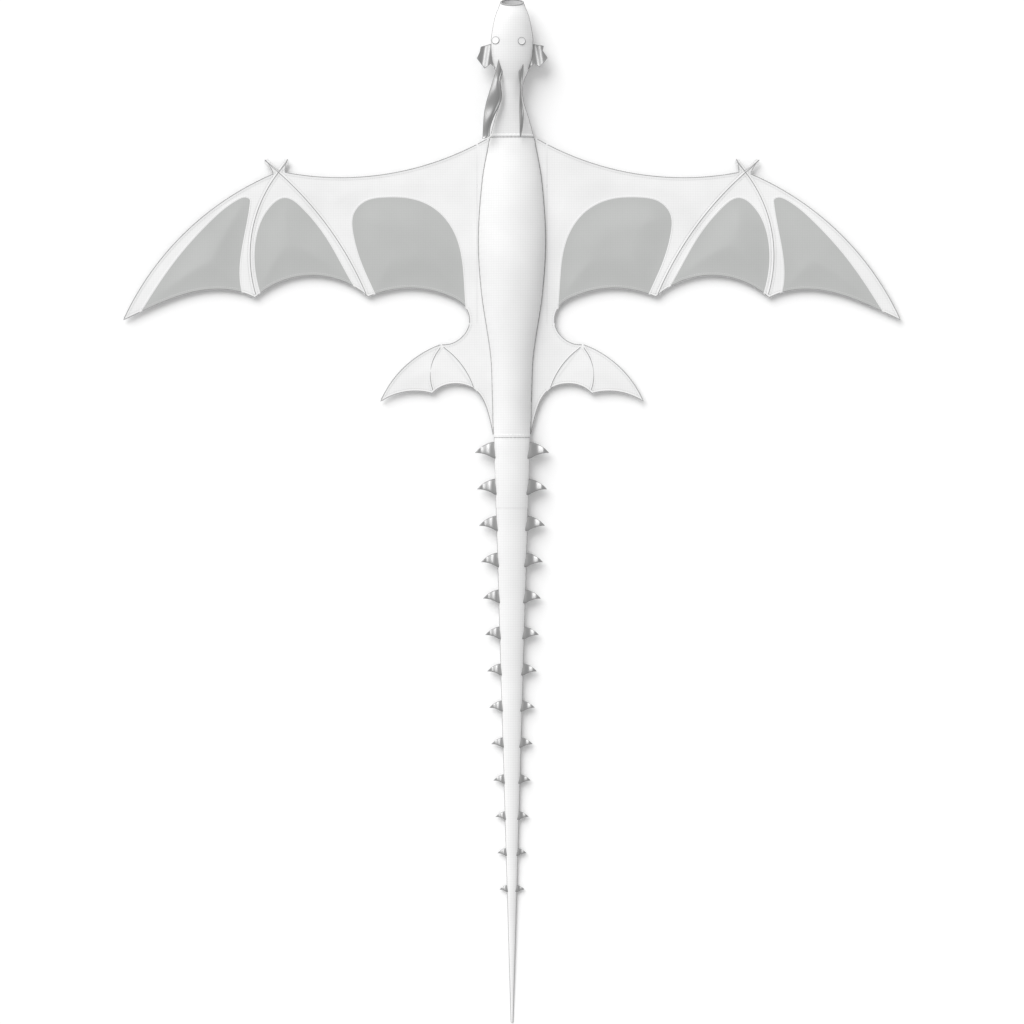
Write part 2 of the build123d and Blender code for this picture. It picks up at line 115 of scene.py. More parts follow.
def smooth(t):
    t = min(max(t, 0.0), 1.0)
    return t * t * (3 - 2 * t)


print("helpers ready")

# %% [markdown]
# ## Finishes
# Kite cloth is ripstop: a fine plain weave with a heavier thread every few millimetres.
# A brick or checker texture could draw that grid, but two Wave textures crossed at right
# angles give round threads that also drive the bump, so the same pattern tints the cloth
# and catches the light. The patterns read Object coordinates, which stay put on the panel.

# %% Cloth materials
def shader(name, color, roughness, **sockets):
    material = bpy.data.materials.new(name)
    material.use_nodes = True
    principled = material.node_tree.nodes["Principled BSDF"]
    principled.inputs["Base Color"].default_value = (*color, 1)
    principled.inputs["Roughness"].default_value = roughness
    for socket, value in sockets.items():
        principled.inputs[socket.replace("_", " ")].default_value = value
    return material, principled


def link(material, source, socket, target, name):
    material.node_tree.links.new(source.outputs[socket], target.inputs[name])


def threads(material, coords, direction, pitch):
    """A row of round threads across one direction, one every pitch metres."""
    wave = material.node_tree.nodes.new("ShaderNodeTexWave")
    wave.bands_direction = direction
    wave.wave_profile = "SIN"
    wave.inputs["Scale"].default_value = 2 * math.pi / (20 * pitch)
    link(material, coords, "Object", wave, "Vector")
    return wave


def mix(material, kind, a, b, factor):
    node = material.node_tree.nodes.new("ShaderNodeMix")
    node.data_type = "RGBA"
    node.blend_type = kind
    node.inputs["Factor"].default_value = factor
    for place, value in (("A", a), ("B", b)):
        socket = [s for s in node.inputs if s.name == place and s.type == "RGBA"][0]
        if isinstance(value, tuple):
            socket.default_value = value
        else:
            material.node_tree.links.new(value, socket)
    return [s for s in node.outputs if s.type == "RGBA"][0]


def ramp(material, source, low, high, dark, light):
    node = material.node_tree.nodes.new("ShaderNodeValToRGB")
    node.color_ramp.elements[0].position = low
    node.color_ramp.elements[1].position = high
    node.color_ramp.elements[0].color = (*dark, 1)
    node.color_ramp.elements[1].color = (*light, 1)
    material.node_tree.links.new(source, node.inputs["Fac"])
    return node.outputs["Color"]


def cloth(name, color, roughness, grid, bump=0.25, mottle=0.05, **sockets):
    """Ripstop: weave, a heavier thread grid, a faint mottle and a bump from the weave and grid."""
    material, principled = shader(name, color, roughness, **sockets)
    tree = material.node_tree
    coords = tree.nodes.new("ShaderNodeTexCoord")
    heavy_x = threads(material, coords, "X", grid)
    heavy_y = threads(material, coords, "Y", grid)
    fine_x = threads(material, coords, "X", grid / 8)
    fine_y = threads(material, coords, "Y", grid / 8)
    grey = (0.0, 0.0, 0.0)
    white = (1.0, 1.0, 1.0)
    lines = mix(material, "LIGHTEN", ramp(material, heavy_x.outputs["Fac"], 0.90, 1.0, grey, white),
                ramp(material, heavy_y.outputs["Fac"], 0.90, 1.0, grey, white), 1.0)
    weave = mix(material, "MULTIPLY", fine_x.outputs["Color"], fine_y.outputs["Color"], 1.0)
    clouds = tree.nodes.new("ShaderNodeTexNoise")
    clouds.inputs["Scale"].default_value = 9.0
    clouds.inputs["Detail"].default_value = 4.0
    link(material, coords, "Object", clouds, "Vector")
    darker = tuple(c * (1 - mottle) for c in color)
    lighter = tuple(min(c * (1 + mottle * 0.6), 1.0) for c in color)
    base = ramp(material, clouds.outputs["Fac"], 0.3, 0.7, darker, lighter)
    shade = mix(material, "MULTIPLY", base, ramp(material, lines, 0.0, 1.0, white, (0.93, 0.93, 0.93)), 1.0)
    tree.links.new(shade, principled.inputs["Base Color"])
    height = mix(material, "ADD", weave, lines, 0.7)
    relief = tree.nodes.new("ShaderNodeBump")
    relief.inputs["Strength"].default_value = bump
    relief.inputs["Distance"].default_value = 0.0002
    tree.links.new(height, relief.inputs["Height"])
    tree.links.new(relief.outputs["Normal"], principled.inputs["Normal"])
    return material


SHEEN = {"Sheen_Weight": 0.25, "Sheen_Roughness": 0.4}
sail_white = cloth("sail_ripstop", (0.80, 0.80, 0.80), 0.62, 0.005, **SHEEN)
window_grey = cloth("window_ripstop", (0.455, 0.462, 0.455), 0.5, 0.005, mottle=0.04, **SHEEN)
body_white = cloth("body_ripstop", (0.79, 0.79, 0.79), 0.55, 0.005, **SHEEN)
# Whiter twill: the eye patches' own white, and on the neck and rump seam tapes a painted highlight beside the
# seam.
eye_and_highlight_white = cloth("twill_eye_and_highlight", (0.84, 0.84, 0.84), 0.7, 0.0016, bump=0.3, mottle=0.02)
piping_grey = cloth("edge_piping", (0.31, 0.31, 0.31), 0.6, 0.0010, bump=0.3, mottle=0.03)
satin_grey = cloth("satin_grey", (0.36, 0.36, 0.36), 0.42, 0.0012, bump=0.12, mottle=0.10, Metallic=0.7,
                   Sheen_Weight=0.5, Sheen_Roughness=0.25)
eye_cloth = cloth("eye_patch_satin", (0.22, 0.22, 0.225), 0.35, 0.0012, bump=0.12)
thread_grey = cloth("thread", (0.66, 0.66, 0.66), 0.6, 0.0006, bump=0.2)
print("cloth finishes:", [m.name for m in (sail_white, window_grey, body_white, eye_and_highlight_white, satin_grey)])

# %% [markdown]
# ## Light, camera and surface
# The kite lies on a plain white surface and is seen from straight above. A long lens from
# far off keeps the wings flat and true. One broad soft lamp high at the upper left gives
# each panel a thin soft shadow to the lower right, and a white surround fills the rest.

# %% Studio
def studio():
    bpy.ops.mesh.primitive_plane_add(size=14, location=(0, 0, -0.0005))
    floor = bpy.context.object
    floor.name = "floor"
    material, principled = shader("floor_white", (0.93, 0.93, 0.93), 0.9)
    floor.data.materials.append(material)

    world = bpy.data.worlds.new("white_surround")
    world.use_nodes = True
    world.node_tree.nodes["Background"].inputs["Color"].default_value = (1, 1, 1, 1)
    world.node_tree.nodes["Background"].inputs["Strength"].default_value = 0.62
    bpy.context.scene.world = world

    lamp = bpy.data.objects.new("key", bpy.data.lights.new("key", "SUN"))
    lamp.data.energy = 2.6
    lamp.data.angle = math.radians(48)
    lamp.rotation_euler = Vector((0.38, -0.62, -0.56)).to_track_quat("-Z", "Y").to_euler()
    bpy.context.scene.collection.objects.link(lamp)

    frame_width = 2.109
    lens, sensor = 220.0, 36.0
    camera = bpy.data.objects.new("camera", bpy.data.cameras.new("camera"))
    camera.data.lens = lens
    camera.data.sensor_width = sensor
    camera.location = (0, -0.002, frame_width * lens / sensor)
    camera.data.clip_end = 60
    bpy.context.scene.collection.objects.link(camera)
    bpy.context.scene.camera = camera
    bpy.context.scene.view_settings.view_transform = "Standard"
    return camera


camera = studio()
print("camera height", round(camera.location.z, 2))

# %% [markdown]
# ## Cutting a sail from its outline
# The frame has each cloth panel as a thin flat plate. Its top face gives the cutting line,
# holes included. A cloth needs an even net of small faces so that it can belly out, so
# points are laid on a grid inside the line and joined with the line by a triangulation
# that keeps every edge of it. A subdivided plane with a boolean would leave ragged slivers.

# %% Outlines and cloth nets
def loops_of(node):
    """The closed boundary lines of a flat node's top face, longest first, in metres."""
    work = bmesh.new()
    work.from_mesh(nodes[node].data)
    bmesh.ops.remove_doubles(work, verts=work.verts, dist=1e-6)
    top = max(v.co.z for v in work.verts)
    lid = {f for f in work.faces if abs(f.normal.z) > 0.9 and all(abs(v.co.z - top) < 1e-5 for v in f.verts)}
    rim = {}
    for face in lid:
        for edge in face.edges:
            if sum(other in lid for other in edge.link_faces) == 1:
                a, b = edge.verts
                rim.setdefault(a.index, []).append(b.index)
                rim.setdefault(b.index, []).append(a.index)
    work.verts.ensure_lookup_table()
    loops = []
    while rim:
        start = min(rim)
        line, here, last = [], start, None
        while here in rim:
            ahead = [v for v in rim.pop(here) if v != last]
            line.append(Vector(work.verts[here].co[:2]))
            last, here = here, next((v for v in ahead if v in rim), start)
        loops.append(line)
    work.free()
    return sorted(loops, key=lambda line: -path_length(line + line[:1])), top


def path_length(line):
    return sum((b - a).length for a, b in zip(line, line[1:]))


def respaced(line, step, closed=False):
    """The same line with points about one step apart."""
    if closed:
        line = line + line[:1]
    total = path_length(line)
    count = max(int(total / step), 2)
    wanted = [total * i / count for i in range(count if closed else count + 1)]
    result, walked, at = [], 0.0, 0
    for place in wanted:
        while at < len(line) - 2 and walked + (line[at + 1] - line[at]).length < place:
            walked += (line[at + 1] - line[at]).length
            at += 1
        run = (line[at + 1] - line[at]).length
        result.append(line[at].lerp(line[at + 1], (place - walked) / run if run else 0))
    return result


def split_long(line, step):
    """A closed line with its corners kept and its long runs divided."""
    result = []
    for a, b in zip(line, line[1:] + line[:1]):
        count = max(int((b - a).length / step), 1)
        result += [a.lerp(b, i / count) for i in range(count)]
    return result


def inside(point, loops):
    """Even and odd crossings of a ray: true in the cloth, false in its holes."""
    odd = False
    for line in loops:
        for a, b in zip(line, line[1:] + line[:1]):
            if (a.y > point.y) != (b.y > point.y):
                if point.x < a.x + (b.x - a.x) * (point.y - a.y) / (b.y - a.y):
                    odd = not odd
    return odd


def cloth_net(name, loops, z, belly, step=0.006, thickness=0.0004):
    """A net of triangles inside the loops that bellies out away from its edges."""
    loops = [split_long(line, step) for line in loops]
    points, edges = [], []
    for line in loops:
        first = len(points)
        points += line
        edges += [(first + i, first + (i + 1) % len(line)) for i in range(len(line))]
    rim = kdtree.KDTree(len(points))
    for i, point in enumerate(points):
        rim.insert((*point, 0), i)
    rim.balance()
    low = Vector((min(p.x for p in points), min(p.y for p in points)))
    high = Vector((max(p.x for p in points), max(p.y for p in points)))
    rows = int((high.y - low.y) / (step * 0.87)) + 1
    for row in range(rows):
        y = low.y + row * step * 0.87
        x = low.x + (row % 2) * step / 2
        while x < high.x:
            point = Vector((x, y))
            if rim.find((x, y, 0))[2] > step * 0.6 and inside(point, loops):
                points.append(point)
            x += step
    flat, _, faces, *_ = geometry.delaunay_2d_cdt(points, edges, [], 0, 1e-7)
    kept = [f for f in faces if inside(sum((flat[i] for i in f), Vector((0, 0))) / len(f), loops)]
    verts = []
    for point in flat:
        away = rim.find((*point, 0))[2]
        ripple = noise.noise(Vector((point.x * 13, point.y * 13, 3.1))) * 0.12
        verts.append((point.x, point.y, z + belly * smooth(away / 0.07) * (1 + ripple)))
    obj = new_mesh(name, verts, kept)
    work = bmesh.new()
    work.from_mesh(obj.data)
    for face in work.faces:
        if face.normal.z < 0:
            face.normal_flip()
    loose = [v for v in work.verts if not v.link_faces]
    bmesh.ops.delete(work, geom=loose, context="VERTS")
    area = sum(f.calc_area() for f in work.faces)
    work.to_mesh(obj.data)
    work.free()
    apply(obj, "SOLIDIFY", thickness=thickness, offset=-1)
    return obj, area, high - low


# %% [markdown]
# ## Sails and windows
# White cloth carries the load and grey cloth fills the windows. The rods hold the panels
# stretched, and each bellies out by only a few millimetres between its seams.

# %% Sails, windows and leg panels
sheets = {}


def panel(node, body, material, belly, lift=0.0):
    loops, top = loops_of(node)
    obj, area, size = cloth_net(f"{node}_cloth", loops, top + lift, belly)
    dress(obj, material)
    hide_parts(node)
    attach(obj, body)
    sheets[node] = loops
    print(node, "area", round(area, 4), "loops", [len(line) for line in loops])
    return obj


for side in SIDES:
    panel(f"wing_sail_{side}", f"wing_{side}", sail_white, 0.0012)
    for window in ("inner", "middle", "outer"):
        panel(f"window_{window}_{side}", f"wing_{side}", window_grey, 0.004)
    panel(f"leg_sail_{side}", f"leg_{side}", sail_white, 0.002)
panel("centre_sail", "body", sail_white, 0.0)
panel("keel_flap", "keel", sail_white, 0.0)

# %% [markdown]
# ## Bindings and stitches
# Every raw edge of a kite is bound with tape, and every rod runs in a sleeve of it. A tape
# is a strip that follows a line, with a low crown. The strip is built point by point beside
# the line, because a curve with a bevel would twist at the corners. The stitches are short
# raised dashes set along the tape in rows, each only a handful of faces.

# %% Tapes and rows of stitches
def frames_along(line, closed):
    """Each point of the line with the unit vector to its left."""
    count = len(line)
    result = []
    for i, point in enumerate(line):
        back = line[i - 1] if closed or i else line[i]
        ahead = line[(i + 1) % count] if closed or i < count - 1 else line[i]
        along = (ahead - back).normalized()
        result.append((point, Vector((-along.y, along.x))))
    return result


def tape_mesh(line, closed, left, right, base, crown, lean=5):
    """Vertices and faces of a strip from left to right of the line, raised to a low crown."""
    verts, faces = [], []
    spots = frames_along(line, closed)
    for point, normal in spots:
        for k in range(lean):
            t = k / (lean - 1)
            spot = point + normal * (left + (right - left) * t)
            verts.append((spot.x, spot.y, base + crown * math.sin(math.pi * t) ** 0.6))
        for t in (1, 0):
            spot = point + normal * (left + (right - left) * t)
            verts.append((spot.x, spot.y, base - 0.0002))
    ring = lean + 2
    count = len(spots)
    for i in range(count if closed else count - 1):
        j = (i + 1) % count
        for k in range(ring):
            m = (k + 1) % ring
            faces.append((i * ring + k, j * ring + k, j * ring + m, i * ring + m))
    if not closed:
        faces.append(tuple(range(ring)))
        faces.append(tuple((count - 1) * ring + k for k in reversed(range(ring))))
    return verts, faces


def stitch_mesh(line, closed, offset, base, length=0.0034, gap=0.0012, width=0.0007, high=0.00032):
    verts, faces = [], []
    spots = frames_along(respaced(line, length + gap, closed), closed)
    for point, normal in spots:
        along = Vector((normal.y, -normal.x))
        centre = point + normal * offset
        first = len(verts)
        for s, w, h in ((-1, 1, 0), (-1, -1, 0), (1, -1, 0), (1, 1, 0), (-0.55, 0, 1), (0.55, 0, 1)):
            spot = centre + along * s * length / 2 + normal * w * width / 2
            verts.append((spot.x, spot.y, base + h * high))
        for face in ((0, 4, 1), (1, 4, 5, 2), (2, 5, 3), (3, 5, 4, 0), (0, 1, 2, 3)):
            faces.append(tuple(first + k for k in face))
    return verts, faces


def gather(name, parts):
    """One object from several (verts, faces) pairs."""
    verts, faces = [], []
    for some, some_faces in parts:
        faces += [tuple(i + len(verts) for i in face) for face in some_faces]
        verts += some
    return new_mesh(name, verts, faces)


def stretches(line, keep):
    """The runs of a closed line whose points pass the test keep."""
    count = len(line)
    marks = [keep(point) for point in line]
    if all(marks):
        return [line + line[:1]]
    start = marks.index(False)
    runs, run = [], []
    for i in range(count + 1):
        k = (start + i) % count
        if marks[k]:
            run.append(line[k])
        else:
            if len(run) > 2:
                runs.append(run)
            run = []
    return runs


def orient(line):
    """The closed line turned so that its left side is inside it."""
    area = sum(a.x * b.y - b.x * a.y for a, b in zip(line, line[1:] + line[:1]))
    return line if area > 0 else line[::-1]


SAIL_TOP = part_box("wing_sail_right")[1].z
SEAM_REACH = 0.0016  # a point this near the neighbouring panel's line is on the seam with it
FOLD_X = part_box("wing_sail_right")[0].x
NOTCH_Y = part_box("wing_sail_right")[0].y


def bind(name, runs, closed, left, right, body, base=SAIL_TOP, crown=0.0003, rows=None, step=0.004,
         material=sail_white):
    """Tape along each run, with its rows of stitches, if it has any, as a second piece."""
    rows = rows if rows is not None else (left + 0.0012, right - 0.0012)
    tapes, rows_done = [], []
    for run in runs:
        line = respaced(run, step, closed)
        tapes.append(tape_mesh(line, closed, left, right, base, crown))
        for offset in rows:
            rows_done.append(stitch_mesh(line, closed, offset, base + crown * 0.72))
    tape = gather(f"{name}_tape", tapes)
    face_outwards(tape)
    dress(tape, material, 60)
    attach(tape, body)
    if rows:
        thread = gather(f"{name}_stitches", rows_done)
        dress(thread, thread_grey, 20)
        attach(thread, body)


def bead_mesh(line, closed, offset, base, radius):
    """A thin round cord laid beside the line, six sides round."""
    verts, faces = [], []
    spots = frames_along(line, closed)
    sides = 6
    for point, normal in spots:
        for k in range(sides):
            turn = 2 * math.pi * k / sides
            spot = point + normal * (offset + radius * math.cos(turn))
            verts.append((spot.x, spot.y, base + radius * math.sin(turn)))
    count = len(spots)
    for i in range(count if closed else count - 1):
        j = (i + 1) % count
        for k in range(sides):
            m = (k + 1) % sides
            faces.append((i * sides + k, j * sides + k, j * sides + m, i * sides + m))
    if not closed:
        faces.append(tuple(range(sides)))
        faces.append(tuple((count - 1) * sides + k for k in reversed(range(sides))))
    return verts, faces


def piping(name, runs, closed, offset, body, radius=0.0007, base=SAIL_TOP, step=0.004):
    """A cord of piping along each run."""
    obj = gather(name, [bead_mesh(respaced(run, step, closed), closed, offset, base, radius) for run in runs])
    face_outwards(obj)
    dress(obj, piping_grey, 60)
    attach(obj, body)
    return obj


HEM = 0.0040
FOLD_CLEAR = 0.004           # hems stop this far from a fold, so that it can close
CLAW_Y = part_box("wing_sail_right")[1].y - 0.026
WINDOW_NAMES = ("inner", "middle", "outer")
for side, sign in SIDES.items():
    outline = orient(split_long(sheets[f"wing_sail_{side}"][0], 0.0015))

    def free_edge(p):
        return abs(p.x) > FOLD_X + 0.0006 and p.y > NOTCH_Y + 0.0006

    def hemmed(p):
        at_fold = abs(p.x) < FOLD_X + FOLD_CLEAR or p.y < NOTCH_Y + FOLD_CLEAR
        return not at_fold and not (p.y > CLAW_Y and abs(p.x) > 6 * FOLD_X)

    lines = {w: orient(split_long(sheets[f"window_{w}_{side}"][0], 0.002)) for w in WINDOW_NAMES}
    glass = [p for line in lines.values() for p in line]
    edge = split_long(sheets[f"wing_sail_{side}"][0], 0.002)

    def seamed(p, others):
        return min((p - q).length for q in others) < SEAM_REACH

    hem_runs = stretches(outline, lambda p: hemmed(p) and not seamed(p, glass))
    bind(f"wing_hem_{side}", hem_runs, False, HEM, 0.0004, f"wing_{side}")
    piping(f"wing_piping_{side}", stretches(outline, lambda p: free_edge(p) and not seamed(p, glass)), False,
           0.0004, f"wing_{side}")
    for window, line in lines.items():
        bind(f"window_{window}_border_{side}", stretches(line, lambda p: seamed(p, edge)), False, 0.0008,
             -0.0030, f"wing_{side}", rows=(-0.0012,), step=0.005)
        rear = stretches(line, lambda p: not seamed(p, edge))
        bind(f"window_{window}_hem_{side}", rear, False, HEM, 0.0002, f"wing_{side}", crown=0.0002,
             material=window_grey)
        piping(f"window_{window}_piping_{side}", rear, False, 0.0004, f"wing_{side}")
print("bound hems and windows")

# %% [markdown]
# The finger rods, the leading edge rod and the leg ribs push the cloth up into a low ridge.
# Here sleeves are laid over the finger rods and the leg ribs.
# Each ridge follows its own rod, so the rod's centre line is read off the frame: a level cut
# across the rod at one y meets its two sides, and the centre is halfway between them.

# %% Sleeves over the rods
def width_at(node, y, keep=lambda v: True):
    """The lowest and highest x where a node's edges cross the line at y."""
    mesh = nodes[node].data
    found = []
    for edge in mesh.edges:
        a, b = (mesh.vertices[i].co for i in edge.vertices)
        if (a.y > y) != (b.y > y) and keep(a) and keep(b):
            found.append(a.x + (b.x - a.x) * (y - a.y) / (b.y - a.y))
    return (min(found), max(found)) if found else None


def centre_line(node, count=40):
    low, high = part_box(node)
    line = []
    for i in range(count + 1):
        y = high.y - 0.001 - (high.y - low.y - 0.002) * i / count
        line.append(Vector((sum(width_at(node, y)) / 2, y)))
    return line


def sleeve(name, node, body, width=0.0080, crown=0.0006, rows=None):
    line = centre_line(node)
    bind(name, [line], False, width / 2, -width / 2, body, crown=crown, rows=rows)
    piping(f"{name}_seam", [line], False, 0, body, 0.0007, SAIL_TOP + crown)


for side in SIDES:
    for rod in ("finger_rod_inner", "finger_rod_outer"):
        sleeve(f"{rod}_sleeve_{side}", f"{rod}_{side}", f"wing_{side}")
    sleeve(f"leg_rib_outer_sleeve_{side}", f"leg_rib_outer_{side}", f"leg_{side}", 0.0065, 0.0005)
    # The inner rib lies at the leg's fold, so its sleeve has no stitches for the fold to catch.
    sleeve(f"leg_rib_inner_sleeve_{side}", f"leg_rib_inner_{side}", "body", 0.0050, 0.0005, ())
    leg_line = orient(split_long(sheets[f"leg_sail_{side}"][0], 0.0015))
    wrist = max(leg_line, key=lambda p: p.y)
    root = min(leg_line, key=lambda p: abs(p.x))
    seam = (wrist - root).normalized()

    def from_seam(p):
        off = p - root
        return abs(off.x * seam.y - off.y * seam.x)

    bind(f"leg_hem_{side}", stretches(leg_line, lambda p: from_seam(p) > FOLD_CLEAR), False, HEM, 0.0004,
         f"leg_{side}")
    piping(f"leg_piping_{side}", stretches(leg_line, lambda p: from_seam(p) > 0.0008), False, 0.0004,
           f"leg_{side}")
print("sleeves done")

# %% [markdown]
# ## The air filled body, head and tail
# The back, head and tail are one cloth tube that the wind fills through the mouth. A tube
# like this could be a lathe turned shape, but it is wider than it is high and its belly is
# flat where it meets the sail. So it is skinned over a row of stations, each with a width,
# a centre height and its own rise above and drop below that centre.

# %% Stations of the tube
HEAD_TOP_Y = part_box("mouth_hoop")[1].y
TAIL_TIP_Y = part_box("tail_4")[0].y
NECK = [j for j in frame["joints"] if j["name"] == "head_nod"][0]["pos_m"]
RUMP = [j for j in frame["joints"] if j["name"] == "tail_bend_1"][0]["pos_m"]

# y, half width, centre height, rise, drop; from the mouth back to the rump, in mm.
TUBE = [
    (HEAD_TOP_Y * 1000, 23.5, 35.0, 13.0, 13.0),
    (1043, 26.5, 34.5, 15.5, 15.5),
    (1032, 30.0, 34.0, 18.5, 18.5),
    (1011, 36.0, 32.0, 24.0, 24.0),
    (991, 40.0, 30.5, 27.5, 27.5),
    (966, 43.0, 29.5, 29.0, 29.0),
    (929, 41.0, 29.0, 27.0, 26.0),
    (904, 33.5, 27.5, 23.0, 21.5),
    (884, 24.5, 25.0, 19.0, 18.0),
    (863, 21.5, 23.0, 16.0, 15.0),
    (843, 23.5, 21.5, 14.0, 12.5),
    (809, 34.0, 20.0, 12.5, 11.0),
    (NECK[1] * 1000, 44.5, 15.0, 17.0, 6.0),
    (755, 48.0, 10.5, 23.5, 1.0),
    (680, 61.0, 10.2, 33.8, 0.3),
    (560, 69.0, 10.2, 41.8, 0.3),
    (450, 62.5, 10.2, 39.8, 0.3),
    (320, 43.5, 10.2, 32.8, 0.3),
    (240, 40.0, 10.2, 31.0, 0.3),
    (176, 38.4, 10.6, 30.6, 0.8),
    (RUMP[1] * 1000, 37.0, 17.0, 24.2, 12.0),
]
tail_height = RUMP[2] * 1000


def tube_at(y):
    """Half width, centre height, rise and drop of the tube at y, in metres."""
    if y <= RUMP[1] - 0.014:
        share = (RUMP[1] - y) / (RUMP[1] - TAIL_TIP_Y)
        half = 0.037 + (0.0016 - 0.037) * share
        high = half * tail_height / 37.0
        return half, high, high * 0.985, high * 0.985
    if y <= RUMP[1]:
        t = smooth((RUMP[1] - y) / 0.014)
        rump = [v * MM for v in TUBE[-1][1:]]
        tail = tube_at(RUMP[1] - 0.0141)
        return tuple(a + (b - a) * t for a, b in zip(rump, tail))
    place = y * 1000
    rows = TUBE
    k = next((i for i in range(len(rows) - 1) if rows[i + 1][0] <= place), len(rows) - 2)
    before, a, b, after = rows[max(k - 1, 0)], rows[k], rows[k + 1], rows[min(k + 2, len(rows) - 1)]
    t = min(max((a[0] - place) / (a[0] - b[0]), 0), 1)
    values = []
    for c in range(1, 5):
        span = a[0] - b[0]
        slope_a = (b[c] - before[c]) / max(before[0] - b[0], 1e-6) * span
        slope_b = (after[c] - a[c]) / max(a[0] - after[0], 1e-6) * span
        t2, t3 = t * t, t * t * t
        values.append(((2 * t3 - 3 * t2 + 1) * a[c] + (t3 - 2 * t2 + t) * slope_a
                       + (3 * t2 - 2 * t3) * b[c] + (t3 - t2) * slope_b) * MM)
    return tuple(values)


MOUTH_LEAN = 0.014


def tube_point(y, turn, out=0.0, wrinkle=True):
    """A point of the tube's skin: turn is the angle round it, out stands off from the skin."""
    half, centre, rise, drop = tube_at(y)
    c, s = math.cos(turn), math.sin(turn)
    high = rise if s > 0 else drop
    x, z = half * c, high * s
    slope = Vector((c * high, s * half))
    slope = slope.normalized() if slope.length > 1e-9 else Vector((c, s))
    if wrinkle:
        at_seam = abs(c) ** 6
        pucker = 0.5 + 0.5 * math.sin(y * 420 + 2.4 * noise.noise(Vector((y * 30, c * 2, 5.0))))
        folds = noise.noise(Vector((x * 26, y * 15, z * 26)))
        scale = min(half / 0.03, 1.0)
        out -= (0.0004 * at_seam * pucker + 0.0006 * (0.5 + 0.5 * folds)) * scale
        for seam in (NECK[1], RUMP[1]):
            near = math.exp(-((y - seam) / 0.012) ** 2)
            out -= 0.0010 * near * (0.55 + 0.45 * math.sin(turn * 34))
    x += slope.x * out
    z += slope.y * out
    front = smooth((y - (HEAD_TOP_Y - 0.045)) / 0.045)
    lean = MOUTH_LEAN * front * (z / (2 * max(rise, 1e-6)) + 0.5)
    return Vector((x, y - lean, centre + z))


def skin(name, front, rear, step, around=72):
    """An open tube of cloth from front to rear, with its wall."""
    rows = max(int((front - rear) / step), 2)
    verts, faces = [], []
    for i in range(rows + 1):
        y = front + (rear - front) * i / rows
        verts += [tube_point(y, 2 * math.pi * k / around) for k in range(around)]
    for i in range(rows):
        for k in range(around):
            m = (k + 1) % around
            faces.append((i * around + k, i * around + m, (i + 1) * around + m, (i + 1) * around + k))
    obj = new_mesh(name, verts, faces)
    face_outwards(obj)
    apply(obj, "SOLIDIFY", thickness=0.0005, offset=-1)
    return dress(obj, body_white, 50)


def middle(joint_a, joint_b):
    return (joint_a + joint_b) / 2


bends = [[j for j in frame["joints"] if j["name"] == f"tail_bend_{k}"][0]["pos_m"] for k in (1, 2, 3, 4)]
BACK_SPLIT = 0.460
cuts = [BACK_SPLIT] + [middle(a[1], b[1]) for a, b in zip(bends, bends[1:])] + [TAIL_TIP_Y]
BEND_HALF = 0.024

front_skin = skin("front_skin", HEAD_TOP_Y, BACK_SPLIT, 0.0032)
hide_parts("back_panel", "head_sock")
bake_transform(front_skin)
names = ["body", "tail_1", "tail_2", "tail_3", "tail_4"]
for k, bend in enumerate(bends):
    piece = skin(f"tail_skin_{k + 1}", cuts[k], cuts[k + 1], 0.0036, 60)
    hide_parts(f"tail_{k + 1}")
    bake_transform(piece)
print("tube skinned from", round(HEAD_TOP_Y, 3), "to", round(TAIL_TIP_Y, 3),
      "cut at", [round(c, 3) for c in cuts])

# %% [markdown]
# ## Seams on the tube
# The back is sewn to the sail along a seam at each side, and to the head and the tail at two
# rings. A seam shows as a thin cord with a band beside it, so each one is a strip laid on the
# skin at a small stand-off, and the rings follow the curve of the cloth. The ring bands are a
# real raised tape in a whiter colour, and that whiter colour is a painted highlight.

# %% Side seams and ring seams
def band_mesh(front, rear, step, turn, width, out):
    """A strip along the tube at one angle round it, seen from outside."""
    rows = max(int((front - rear) / step), 2)
    verts, faces = [], []
    for i in range(rows + 1):
        y = front + (rear - front) * i / rows
        for k, lift in ((-1, -0.0003), (-0.5, out), (0.5, out), (1, -0.0003)):
            half = max(tube_at(y)[0], 0.004)
            verts.append(tube_point(y, turn + k * width / 2 / half, lift))
    for i in range(rows):
        for k in range(3):
            faces.append((i * 4 + k, i * 4 + k + 1, (i + 1) * 4 + k + 1, (i + 1) * 4 + k))
    return verts, faces


def ring_mesh(y, width, out, around=96, low=-0.35, high=math.pi + 0.35):
    """A strip round the tube, from one side over the back to the other."""
    verts, faces = [], []
    for i in range(around + 1):
        turn = low + (high - low) * i / around
        for k, lift in ((-1, -0.0003), (-0.5, out), (0.5, out), (1, -0.0003)):
            verts.append(tube_point(y + k * width / 2, turn, lift))
    for i in range(around):
        for k in range(3):
            faces.append((i * 4 + k, (i + 1) * 4 + k, (i + 1) * 4 + k + 1, i * 4 + k + 1))
    return verts, faces


NECK_ENDS = ((0, NECK[1] - 0.03, NECK[2]), (0, NECK[1] + 0.03, NECK[2]))
RUMP_ENDS = ((0, RUMP[1] + BEND_HALF, RUMP[2]), (0, RUMP[1] - BEND_HALF, RUMP[2]))


def seam_piece(name, parts, material, bodies, ends):
    obj = gather(name, parts)
    face_outwards(obj)
    dress(obj, material, 60)
    if ends:
        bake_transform(obj)
    else:
        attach(obj, bodies)
    return obj


